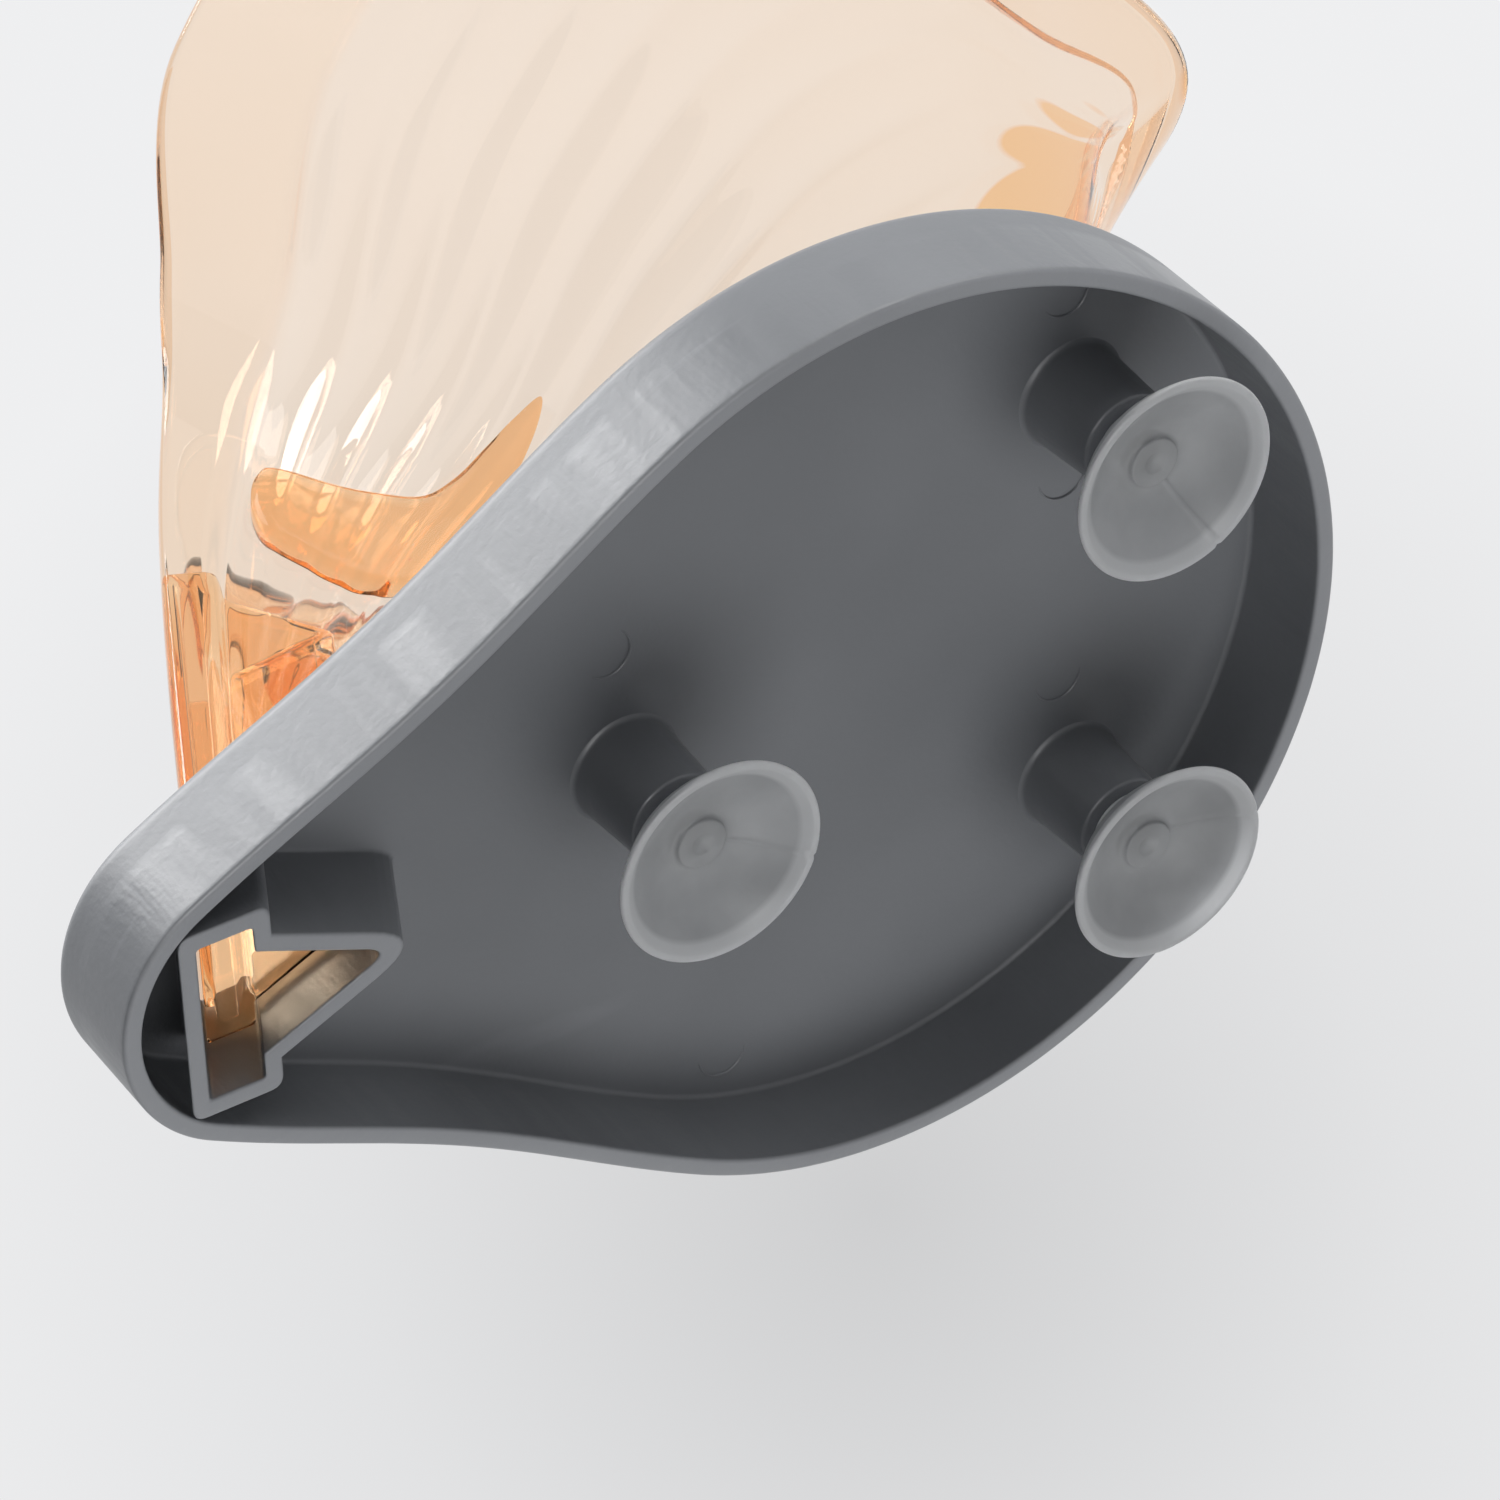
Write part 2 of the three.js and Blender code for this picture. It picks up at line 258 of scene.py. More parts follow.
def greyPlastic():
    # satin moulded plastic: cloudy tone, fine grain, a few pale scuffs, a rim edge painted paler (partly
    # wear, partly painted light) and upright streaks on the skirt
    paint = Paint(bpy.data.materials.new("greyPlastic"))
    cloud = paint.noise(greyLook["cloudScale"], 3)
    grain = paint.noise(greyLook["grainScale"], 2)
    drag = paint.noise(greyLook["scuffScale"], 4, greyLook["scuffStretch"])
    tone = paint.ramp(cloud, [(0.3, greyLook["dark"]), (0.7, greyLook["light"])])
    scuffMask = paint.ramp(drag, [(0.70, (0, 0, 0, 1)), (0.78, (1, 1, 1, 1))])
    z = paint.axes()[2]
    onRim = paint.clamped((greyLook["rimHeight"] - z) * greyLook["rimSharp"])
    # the rim edge is blended towards the pale colour: partly wear, partly painted light that makes it
    # lighter than the recessed plate, which gets less light
    rimWearAndPaintedLight = onRim * (0.5 + 0.6 * cloud)
    colour = paint.blend(scuffMask * greyLook["scuffShare"] + rimWearAndPaintedLight, tone, greyLook["scuffAndLitRim"])
    upright = paint.noise(greyLook["streakScale"], 3, greyLook["streakStretch"])
    streak = paint.ramp(upright, [(0.40, (0, 0, 0, 1)), (0.62, (1, 1, 1, 1))])
    streak = streak * paint.clamped((greyLook["streakTop"] - z) * greyLook["streakSharp"])
    surface = paint.node(
        "ShaderNodeBsdfPrincipled",
        {},
        {
            "Base Color": colour,
            "Roughness": 0.35 + 0.12 * cloud + 0.06 * grain - 0.12 * streak,
            "IOR": 1.5,
            "Normal": paint.bump(grain + 1.4 * streak, 0.12, 0.0002),
        },
    )
    return paint.finish(surface)


amberLook = {
    "absorb": (0.99, 0.545, 0.0, 1),
    "leaf": {"tint": (1.0, 0.905, 0.82, 1), "density": 80.0, "bending": 1.22, "coat": 0.4},
    "stem": {"tint": (1.0, 0.82, 0.62, 1), "density": 60.0, "bending": 1.1, "coat": 0.2},
    "gusset": {"tint": (1.0, 0.76, 0.54, 1), "density": 140.0, "bending": 1.1, "coat": 0.1},
    "bowTint": (1.0, 0.52, 0.20, 1),
    "bowPlace": 0.0529,
    "bowSlope": 1.75,
    "bowSharp": 2500,
    "swellScale": 55,
    "teeth": 0.0018,
    "rimTint": (0.90, 0.62, 0.42, 1),
}


def amberPlastic(kind):
    # clear polished plastic, coloured by how far light runs inside it
    look = amberLook[kind]
    paint = Paint(bpy.data.materials.new("amber_" + kind))
    swell = paint.noise(amberLook["swellScale"], 2)
    # deeper tint towards the bow, its edge broken into teeth where the flutes run out
    x, _, z = paint.axes()
    flute = paint.node("ShaderNodeAttribute", {"attribute_name": "flute"}, output="Fac")
    teeth = (flute - 0.5) * amberLook["teeth"]
    rim = paint.clamped(flute - 1.0)
    past = x - amberLook["bowSlope"] * z + amberLook["bowPlace"] + teeth
    bow = paint.clamped(past * amberLook["bowSharp"])
    tint = paint.blend(bow, look["tint"], amberLook["bowTint"])
    surface = paint.node(
        "ShaderNodeBsdfPrincipled",
        {},
        {
            "Base Color": paint.blend(rim, tint, amberLook["rimTint"]),
            "Roughness": 0.015 + 0.02 * swell,
            "IOR": look["bending"],
            "Transmission Weight": 1.0,
            "Coat Weight": look["coat"],
            "Coat Roughness": 0.02,
            "Normal": paint.bump(swell, 0.12, 0.0008),
        },
    )
    volume = paint.node(
        "ShaderNodeVolumeAbsorption", {}, {"Color": amberLook["absorb"], "Density": look["density"]}
    )
    return paint.finish(surface, volume)


vinylLook = {
    "milk": (0.64, 0.65, 0.66, 1),
    "haze": (0.52, 0.53, 0.54, 1),
    "lip": (0.86, 0.87, 0.88, 1),
    "lipTop": 0.0009,
    "lipSharp": 3000,
    "cloudScale": 160,
    "grainScale": 2200,
}


def clearVinyl():
    # milky soft vinyl: part of the light goes through, part is scattered
    paint = Paint(bpy.data.materials.new("clearVinyl"))
    cloud = paint.noise(vinylLook["cloudScale"], 3)
    grain = paint.noise(vinylLook["grainScale"], 2)
    tone = paint.ramp(cloud, [(0.35, vinylLook["haze"]), (0.65, vinylLook["milk"])])
    height = paint.axes()[2]
    lip = paint.clamped((vinylLook["lipTop"] - height) * vinylLook["lipSharp"])
    surface = paint.node(
        "ShaderNodeBsdfPrincipled",
        {},
        {
            "Base Color": paint.blend(lip, tone, vinylLook["lip"]),
            "Roughness": 0.30 + 0.12 * cloud,
            "IOR": 1.38,
            "Transmission Weight": 0.62,
            "Normal": paint.bump(grain, 0.08, 0.0002),
        },
    )
    return paint.finish(surface)


greyPaint = greyPlastic()
leafPaint = amberPlastic("leaf")
stemPaint = amberPlastic("stem")
gussetPaint = amberPlastic("gusset")
vinylPaint = clearVinyl()
print("paints made")


# Base tray: outlines are radius against angle round a point on the socket's axis, so that the top,
# the skirt, the underside and the socket are one closed stack of rings.
base = {
    "wideRadius": 41.1 * mm,
    "narrowRadius": 13.0 * mm,
    "wideCentre": 20.5 * mm,
    "narrowCentre": -36.0 * mm,
    "flankHollow": 1.1 * mm,
    "skirtWall": 1.6 * mm,
    "topWall": 1.8 * mm,
    "topRadius": 1.3 * mm,
    "edgeRadius": 0.35 * mm,
    "rootRadius": 0.45 * mm,
    "hubX": -38.5 * mm,
    "outerHubX": -35.0 * mm,
    "socketWall": 1.5 * mm,
    "fitGap": 0.3 * mm,
    "aroundSteps": 420,
}
stem = {
    "lean": math.radians(25),
    "backX": -42.1 * mm,
    "barDepth": 4.2 * mm,
    "halfWidth": 7.0 * mm,
    "notchHalf": 4.8 * mm,
    "tipX": -27.0 * mm,
    "tipRadius": 0.7 * mm,
    "wall": 1.0 * mm,
    "cornerRadius": 0.3 * mm,
}
rimZ = baseLow.z
topZ = baseHigh.z
underZ = topZ - base["topWall"]
slant = math.tan(stem["lean"])


def teardropOutline(inset):
    # two circles and slightly hollow flanks between them, drawn in by an inset
    wide, narrow = base["wideRadius"] - inset, base["narrowRadius"] - inset
    span = base["wideCentre"] - base["narrowCentre"]
    half = 90 + math.degrees(math.asin((wide - narrow) / span))
    wideArc = arcPoints((base["wideCentre"], 0), wide, -half, half, 900)
    narrowArc = arcPoints((base["narrowCentre"], 0), narrow, half, 360 - half, 300)
    share = np.linspace(0, 1, 200)[1:-1, None]
    out = np.array([math.cos(math.radians(half)), math.sin(math.radians(half))])
    hollow = base["flankHollow"] * np.sin(np.pi * share) ** 2 * out
    flank = wideArc[-1] + (narrowArc[0] - wideArc[-1]) * share - hollow
    return np.concatenate([wideArc, flank, narrowArc, flank[::-1] * np.array([1, -1])])


def roundedCorners(corners, radii, steps):
    # each corner of a closed outline replaced by an arc-like curve of its radius
    rounded = []
    count = len(corners)
    share = np.linspace(0, 1, steps)[:, None]
    for i in range(count):
        before, here, after = corners[i - 1], corners[i], corners[(i + 1) % count]
        toBefore = (before - here) / np.linalg.norm(before - here)
        toAfter = (after - here) / np.linalg.norm(after - here)
        halfAngle = math.acos(np.clip(toBefore @ toAfter, -1, 1)) / 2
        reach = radii[i] / math.tan(halfAngle)
        first, last = here + toBefore * reach, here + toAfter * reach
        rounded.append((1 - share) ** 2 * first + 2 * share * (1 - share) * here + share**2 * last)
    return np.concatenate(rounded)


def arrowOutline(offset):
    # flat bar at the back, notches and a pointed front, grown by an offset
    front = stem["backX"] + stem["barDepth"]
    flank = math.atan2(stem["notchHalf"], stem["tipX"] - front)
    tip = stem["tipX"] + offset / math.sin(flank)
    front += offset
    back = stem["backX"] - offset
    width = stem["halfWidth"] + offset
    notch = (tip - front) * math.tan(flank)
    corners = np.array([
        (tip, 0), (front, notch), (front, width), (back, width),
        (back, -width), (front, -width), (front, -notch),
    ])
    corner = max(stem["cornerRadius"] + offset / 2, 0.1 * mm)
    inner = max(stem["cornerRadius"] - offset / 4, 0.1 * mm)
    point = max(stem["tipRadius"] + offset, 0.2 * mm)
    return roundedCorners(corners, [point, inner, corner, corner, corner, corner, inner], 10)


def polar(outline, hubX):
    # radius as a function of angle round (hubX, 0)
    following = np.roll(outline, -1, axis=0)
    dense = outline + (following - outline) * np.linspace(0, 1, 60, endpoint=False)[:, None, None]
    x, y = dense[..., 0].ravel() - hubX, dense[..., 1].ravel()
    angle = np.arctan2(y, x)
    order = np.argsort(angle)
    angle, radius = angle[order], np.hypot(x, y)[order]
    angle = np.concatenate([angle - 2 * np.pi, angle, angle + 2 * np.pi])
    return lambda wanted: np.interp(wanted, angle, np.tile(radius, 3))


def ringAngles():
    # even steps round the skirt, and every bend of the socket's outlines
    skirt = teardropOutline(0)
    skirt = skirt[:: max(len(skirt) // base["aroundSteps"], 1)]
    angles = [np.arctan2(skirt[:, 1], skirt[:, 0] - base["outerHubX"])]
    for offset in (base["fitGap"], base["fitGap"] + base["socketWall"]):
        arrow = arrowOutline(offset)
        angles.append(np.arctan2(arrow[:, 1], arrow[:, 0] - base["hubX"]))
    angles = np.sort(np.concatenate(angles))
    return angles[np.concatenate([[True], np.diff(angles) > 2e-4])]


around = ringAngles()


def outlineRing(radius, hubX, z):
    x = rearX + hubX + radius * np.cos(around)
    return np.stack([x, radius * np.sin(around), np.full_like(around, z)], -1)


def skirtRing(inset, z):
    radius = polar(teardropOutline(inset), base["outerHubX"])(around)
    return outlineRing(radius, base["outerHubX"], z)


def socketRing(offset, z):
    radius = polar(arrowOutline(offset), base["hubX"])(around)
    return outlineRing(radius, base["hubX"] + slant * (z - rimZ), z)


def between(first, last, shares):
    return [first + (last - first) * share for share in shares]


def bend(ringOf, insetCentre, zCentre, radius, fromDeg, toDeg, steps):
    # rings along a small round: inset and height follow an arc
    turns = arcPoints((insetCentre, zCentre), radius, fromDeg, toDeg, steps)
    return [ringOf(inset, z) for inset, z in turns]


def baseRings():
    edge = base["edgeRadius"]
    top, root = base["topRadius"], base["rootRadius"]
    hole, outside = base["fitGap"], base["fitGap"] + base["socketWall"]
    wall = base["skirtWall"]
    soft = 0.25 * mm
    rings = bend(socketRing, hole + edge, topZ - edge, edge, 180, 90, 4)
    plateEdge = skirtRing(top, topZ)
    rings += between(rings[-1], plateEdge, (0.03, 0.15, 0.4, 0.7, 0.94))
    rings += bend(skirtRing, top, topZ - top, top, 90, 180, 9)
    rings += [skirtRing(0, z) for z in (topZ - top - 0.4 * mm, (topZ + rimZ) / 2, rimZ + 2 * edge)]
    rings += bend(skirtRing, edge, rimZ + edge, edge, 180, 270, 5)
    rings += bend(skirtRing, wall - edge, rimZ + edge, edge, 270, 360, 5)
    rings += [skirtRing(wall, rimZ + 2 * edge), skirtRing(wall, (rimZ + underZ) / 2)]
    rings += bend(skirtRing, wall + root, underZ - root, root, 180, 90, 7)
    foot = socketRing(outside + soft, underZ)
    rings += between(rings[-1], foot, (0.05, 0.3, 0.6, 0.85, 0.97))
    rings += bend(socketRing, outside + soft, underZ - soft, soft, 90, 180, 4)
    rings += [socketRing(outside, underZ - 0.6 * mm), socketRing(outside, rimZ + 2 * soft)]
    rings += bend(socketRing, outside - soft, rimZ + soft, soft, 0, -90, 4)
    rings += bend(socketRing, hole + soft, rimZ + soft, soft, 270, 180, 4)
    rings += [socketRing(hole, rimZ + 2 * soft), socketRing(hole, topZ - 2 * edge)]
    return np.array(rings)


post = {
    "rootRadius": 4.6 * mm,
    "tipRadius": 4.2 * mm,
    "rise": 1.1 * mm,
    "bore": 2.6 * mm,
    "boreDepth": 5.3 * mm,
    "edge": 0.3 * mm,
    "flare": 0.7 * mm,
}
cupNodes = ["suction_cup_rear", "suction_cup_front_left", "suction_cup_front_right"]


def cupCentre(node):
    low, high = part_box(node)
    return (low.x + high.x) / 2, (low.y + high.y) / 2


def postGrid(node):
    # tapered post with a round at its root, a rounded end and the bore for the cup's stem
    x, y = cupCentre(node)
    tipZ = rimZ + post["rise"]
    edge, flare = post["edge"], post["flare"]
    tip, root = post["tipRadius"], post["rootRadius"]
    turn = np.radians(np.linspace(90, 0, 7))
    profile = [
        *zip(root + flare - flare * np.cos(turn), underZ + 0.1 * mm - flare + flare * np.sin(turn)),
        (tip + (root - tip) * 0.1, tipZ + 0.8 * mm),
        *arcPoints((tip - edge, tipZ + edge), edge, 0, -90, 5),
        *arcPoints((post["bore"] + edge, tipZ + edge), edge, -90, -180, 5),
        (post["bore"], tipZ + post["boreDepth"]),
        (0.01 * mm, tipZ + post["boreDepth"]),
    ]
    return turnedGrid(profile, x, y, 72)


pinMarks = {
    "radius": 2.3 * mm,
    "proud": 0.22 * mm,
    "sunk": 0.15 * mm,
    "places": [(41.4, -28.8, 60), (41.2, -11.4, 85), (-1.2, -11.6, 40), (40.9, 8.6, 85), (8.0, 32.9, 90)],
}


def pinMarkGrid(x, y, turn):
    # a thin ridge round an ejector pin's mark, proud of the plate over a crescent of its way round
    radius = pinMarks["radius"] * np.array([0.88, 0.93, 0.97, 1.02])
    onTop = np.array([0, 1, 1, 0])[:, None]
    angle = np.linspace(0, 2 * np.pi, 72, endpoint=False)
    crescent = np.sqrt(np.maximum(np.cos(angle - math.radians(turn)), 0))
    z = underZ + pinMarks["sunk"] - onTop * (pinMarks["sunk"] * 0.8 + pinMarks["proud"] * crescent)
    points = np.stack(
        [rearX + x * mm + radius[:, None] * np.cos(angle), y * mm + radius[:, None] * np.sin(angle), z], -1
    )
    return points, gridFaces(len(radius), len(angle), True, True)


def makeBase():
    rings = baseRings()
    grids = [(rings, gridFaces(len(rings), len(around), True, True))]
    grids += [postGrid(node) for node in cupNodes]
    grids += [pinMarkGrid(*place) for place in pinMarks["places"]]
    points, faces = stackGrids(grids)
    return makePiece("grey_base", points, faces, greyPaint, "base", "grey_plastic", ["base_tray"])


makeBase()


# Suction cups: a bell with a thin lip, a boss in its middle, a collar and a stem up the bore.
cup = {
    "radius": 9.0 * mm,
    "lipWidth": 0.7 * mm,
    "lipHeight": 0.55 * mm,
    "depth": 3.3 * mm,
    "wall": 1.0 * mm,
    "collar": 3.4 * mm,
    "stem": 2.3 * mm,
    "boss": 2.2 * mm,
    "bossHeight": 0.45 * mm,
    "dimple": 0.9 * mm,
    "seamWidth": 0.17 * mm,
    "seamHeight": 0.16 * mm,
    "notch": 0.16 * mm,
    "seamTurn": {"suction_cup_rear": 20, "suction_cup_front_left": 350, "suction_cup_front_right": 62},
    "steps": 180,
    # rows of the profile on the boss, before the bell, and on the underside of the lip
    "bossRows": 9,
    "lipRows": 6,
}


def bellCurve(crownRadius, crownZ, edgeRadius, edgeZ, steps):
    # flat at the crown and steeper towards the lip
    share = np.linspace(0, 1, steps)
    return np.stack(
        [crownRadius + (edgeRadius - crownRadius) * share, crownZ + (edgeZ - crownZ) * share**1.6], -1
    )


def makeCup(node):
    x, y = cupCentre(node)
    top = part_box(node)[1].z
    collarTop = rimZ + post["rise"] - base["fitGap"]
    lip = cup["lipHeight"] / 2
    crown = cup["depth"] + cup["wall"]
    outside = bellCurve(cup["collar"] + 0.6 * mm, crown, cup["radius"] - lip / 2, 2 * lip, 16)
    inside = bellCurve(cup["boss"] + 0.4 * mm, cup["depth"], cup["radius"] - cup["lipWidth"], 0.08 * mm, 16)
    bossZ = cup["depth"] - cup["bossHeight"]
    profile = np.array([
        (0.01 * mm, bossZ + 0.35 * mm),
        (cup["dimple"] * 0.6, bossZ + 0.30 * mm),
        (cup["dimple"], bossZ + 0.04 * mm),
        (cup["dimple"] * 1.15, bossZ),
        *arcPoints((cup["boss"] - 0.2 * mm, bossZ + 0.2 * mm), 0.2 * mm, -90, 0, 4),
        (cup["boss"] + 0.05 * mm, cup["depth"] - 0.1 * mm),
        *inside,
        (cup["radius"] - cup["lipWidth"] * 0.8, 0),
        *arcPoints((cup["radius"] - lip, lip), lip, -90, 60, 8),
        *outside[::-1],
        *arcPoints((cup["collar"] + 0.5 * mm, crown + 0.5 * mm), 0.5 * mm, 250, 180, 5),
        *arcPoints((cup["collar"] - 0.25 * mm, collarTop - 0.25 * mm), 0.25 * mm, 0, 90, 5),
        (cup["stem"], collarTop),
        (cup["stem"], top - 0.3 * mm),
        (cup["stem"] - 0.3 * mm, top),
        (0.01 * mm, top),
    ])
    points, faces = turnedGrid(profile, x, y, cup["steps"])
    # a fine mould line across the inside of the bell, from the boss to the lip
    angle = np.linspace(0, 2 * np.pi, cup["steps"], endpoint=False)
    away = np.angle(np.exp(1j * (angle - math.radians(cup["seamTurn"][node]))))
    radius = profile[:, 0][:, None]
    line = np.exp(-((radius * away / cup["seamWidth"]) ** 2)) * (np.cos(away) > 0)
    row = np.arange(len(profile))
    bellRow = cup["bossRows"]
    lipRow = bellRow + len(inside)
    onBell = (row >= bellRow) & (row < lipRow)
    onLip = (row >= lipRow) & (row < lipRow + cup["lipRows"])
    points[..., 2] += (cup["notch"] * onLip - cup["seamHeight"] * onBell)[:, None] * line
    points[..., 2] = np.maximum(points[..., 2], 0)
    name = node.replace("suction_cup", "cup")
    return makePiece(name, points, faces, vinylPaint, "base", "clear_vinyl", [node])


for node in cupNodes:
    makeCup(node)


# Stem insert: the arrow tube that stands in the leaf's neck and plugs into the socket.
def stemRing(offset, riseOf):
    radius = polar(arrowOutline(offset), base["hubX"])(around)
    ring = outlineRing(radius, base["hubX"], rimZ)
    rise = riseOf(ring[:, 0] - rearX)
    ring[:, 0] += slant * rise
    ring[:, 2] += rise
    return ring


def makeStem():
    lean = stem["lean"]
    squareFall = math.sin(lean) * math.cos(lean)
    topRise = stemHigh.z - rimZ
    bottom = stemLow.z - rimZ
    edge = 0.2 * mm
    wall = stem["wall"]

    def squareTop(drop):
        return lambda x: topRise - (x - stem["backX"]) * squareFall - drop

    def levelEnd(lift):
        return lambda x: np.full_like(x, bottom + lift)

    rings = np.array([
        stemRing(-edge, levelEnd(0)),
        stemRing(-edge * 0.3, levelEnd(edge * 0.3)),
        stemRing(0, levelEnd(edge)),
        stemRing(0, levelEnd(1 * mm)),
        stemRing(0, squareTop(1 * mm)),
        stemRing(0, squareTop(edge)),
        stemRing(-edge * 0.3, squareTop(edge * 0.3)),
        stemRing(-edge, squareTop(0)),
        stemRing(edge - wall, squareTop(0)),
        stemRing(-wall, squareTop(edge)),
        stemRing(-wall, squareTop(1 * mm)),
        stemRing(-wall, levelEnd(1 * mm)),
        stemRing(-wall, levelEnd(edge)),
        stemRing(edge - wall, levelEnd(0)),
    ])
    faces = gridFaces(len(rings), len(around), True, True)
    return makePiece("amber_stem", rings, faces, stemPaint, "dish", "amber_plastic", ["stem_insert"])


makeStem()


# Leaf: quarter ellipses from a floor line up to the rim, rippled by flutes that run from neck to tip.
leaf = {
    "wall": 1.6 * mm,
    "rimWall": 2.6 * mm,
    "rimHeight": 73.0 * mm,
    "halfWidth": 52.0 * mm,
    "hingeX": -8.1 * mm,
    "length": 101.5 * mm,
    "tipDrop": 2.4 * mm,
    "bowRake": 13.0 * mm,
    "bowHeight": 4.6 * mm,
    "floorElbow": 29.0 * mm,
    "floorRun": 85.3 * mm,
    "floorSag": 27.0 * mm,
    "throat": (-11.8 * mm, 65.6 * mm),
    # share of the length, share of the half width, share of the tip's drop
    "rimPlan": [
        (0, 0.337, 0.5),
        (0.036, 0.721, 0.25),
        (0.22, 1, 0),
        (0.562, 0.889, 0),
        (0.869, 0.364, 0),
        (1, 0, 1),
    ],
    "flutes": 9,
    "fluteDepth": 0.8 * mm,
    "fluteCut": 0.65 * mm,
    "crest": 0.16,
    "fluteStart": (0.10, 0.27),
    "fluteEnd": (-0.12, 0.03),
    "bandStart": 0.82,
    # how far the band's edge dips and climbs back, each with the stretch of u that it takes
    "bandDip": (0.33, 0.55, 0.8),
    "bandClimb": (0.19, 0.8, 1.0),
    "bandSoft": (0.025, 0.06),
    "bandSoftEnd": (0.25, 0.45),
    "neckGap": 0.6 * mm,
    "bowStart": (0.745, 0.35),
    "rows": 150,
    "columns": 144,
    "rimSteps": 7,
    "unmarked": -20.0,
    "rimMark": 2.0,
}


def splinePart(p0, p1, p2, p3, s):
    # the stretch from p1 to p2 of a spline through four points
    square = 2 * p0 - 5 * p1 + 4 * p2 - p3
    cube = 3 * p1 - p0 - 3 * p2 + p3
    return 0.5 * (2 * p1 + (p2 - p0) * s + square * s**2 + cube * s**3)


def catmullRom(points, u):
    # uniform spline through the points, carried on straight at its start and mirrored past its end
    points = np.asarray(points, float)
    mirrored = points[-2] * np.array([1, -1, 1])
    line = np.concatenate([[2 * points[0] - points[1]], points, [mirrored]])
    place = np.clip(u, 0, 1) * (len(points) - 1)
    i = np.minimum(place.astype(int), len(points) - 2)
    s = (place - i)[..., None]
    p0, p1, p2, p3 = (line[i + k] for k in range(4))
    return splinePart(p0, p1, p2, p3, s)


def bezier(points, u):
    p0, p1, p2, p3 = np.asarray(points, float)
    s = np.asarray(u)[..., None]
    return (1 - s) ** 3 * p0 + 3 * s * (1 - s) ** 2 * p1 + 3 * s**2 * (1 - s) * p2 + s**3 * p3


def leafGuides():
    seat = topZ + base["fitGap"]
    stemTop = stemHigh.z
    neckHalf = stem["halfWidth"] + leaf["neckGap"] + leaf["rimWall"]

    def backAt(z):
        return stem["backX"] + slant * (z - rimZ)

    def along(share):
        return leaf["hingeX"] + leaf["length"] * share

    half, rimHeight, drop = leaf["halfWidth"], leaf["rimHeight"], leaf["tipDrop"]
    floorX = stem["tipX"] + slant * (seat - rimZ) + leaf["wall"] / math.cos(stem["lean"])
    bowZ = rimHeight - drop - leaf["bowHeight"]
    floor = [
        (floorX, 0, seat),
        (floorX + slant * leaf["floorElbow"], 0, seat + leaf["floorElbow"]),
        (floorX + leaf["floorRun"], 0, bowZ - leaf["floorSag"]),
        (along(1) - leaf["bowRake"], 0, bowZ),
    ]
    rim = [
        (backAt(seat) + base["fitGap"], neckHalf, seat),
        (backAt(stemTop) + leaf["neckGap"], neckHalf, stemTop),
        (leaf["throat"][0], neckHalf + leaf["fluteDepth"], leaf["throat"][1]),
        *[(along(share), half * width, rimHeight - drop * fall) for share, width, fall in leaf["rimPlan"]],
    ]
    return floor, rim


floorGuide, rimGuide = leafGuides()


def leafPlain(u, t):
    low, high = bezier(floorGuide, u), catmullRom(rimGuide, u)
    angle = t * np.pi / 2
    lift = 1 - np.cos(angle)
    x = low[..., 0] + (high[..., 0] - low[..., 0]) * lift
    z = low[..., 2] + (high[..., 2] - low[..., 2]) * lift
    return np.stack([rearX + x, high[..., 1] * np.sin(angle), z], -1)


def leafNormal(u, t):
    step = 1e-3
    along = leafPlain(np.minimum(u + step, 1), t) - leafPlain(np.maximum(u - step, 0), t)
    across = leafPlain(u, np.minimum(t + step, 1)) - leafPlain(u, np.maximum(t - step, 0))
    normal = np.cross(across, along)
    return normal / np.maximum(np.linalg.norm(normal, axis=-1, keepdims=True), 1e-12)


def steadyNormal(u, t):
    # normals averaged along the leaf, so that the inner skin does not fold at the throat
    spread = np.linspace(-0.035, 0.035, 9)
    normal = sum(leafNormal(np.clip(u + shift, 0, 1), t) for shift in spread)
    return normal / np.maximum(np.linalg.norm(normal, axis=-1, keepdims=True), 1e-12)


def fluteWave(t):
    # 0 on the sharp crests and 1 in the round grooves between them
    crest = leaf["crest"]
    swing = np.sin(np.pi * leaf["flutes"] * t / leaf["bandStart"])
    return (np.sqrt(swing**2 + crest**2) - crest) / (math.sqrt(1 + crest**2) - crest)


def bandEdge(u):
    # t at which the thick rim band begins: the band widens before the tip
    dip, *dipSpan = leaf["bandDip"]
    climb, *climbSpan = leaf["bandClimb"]
    return leaf["bandStart"] - dip * smoothStep(u, *dipSpan) + climb * smoothStep(u, *climbSpan)


def leafSkin(u, t, depth):
    # the plain skin, moved in by the flutes and by a share of the wall
    start, slope = leaf["bowStart"]
    edge = start + slope * np.clip(t - 0.19, 0, 0.17)
    top = bandEdge(u)
    belowBand = 1 - smoothStep(u, 0.5, 0.62) * smoothStep(t, top - 0.12, top)
    before, after = leaf["fluteEnd"]
    ends = smoothStep(u, *leaf["fluteStart"]) * (1 - smoothStep(u, edge + before, edge + after))
    ripple = np.where(t < leaf["bandStart"], leaf["fluteCut"] * ends * belowBand * fluteWave(t), 0)
    thin, more = leaf["bandSoft"]
    bandWidth = thin + more * (1 - smoothStep(u, *leaf["bandSoftEnd"]))
    band = smoothStep(t, top, top + bandWidth)
    wall = leaf["wall"] + (leaf["rimWall"] - leaf["wall"]) * band
    inward = leafNormal(u, t) * ripple[..., None] + steadyNormal(u, t) * (depth * wall)[..., None]
    return leafPlain(u, t) - inward


def innerEnd(t):
    # u at which each column of the inner skin reaches the middle plane behind the bow
    low, high = np.full_like(t, 0.6), np.ones_like(t)
    for _ in range(24):
        middle = (low + high) / 2
        inside = leafSkin(middle, t, 1.0)[:, 1] > 0
        low, high = np.where(inside, middle, low), np.where(inside, high, middle)
    return low


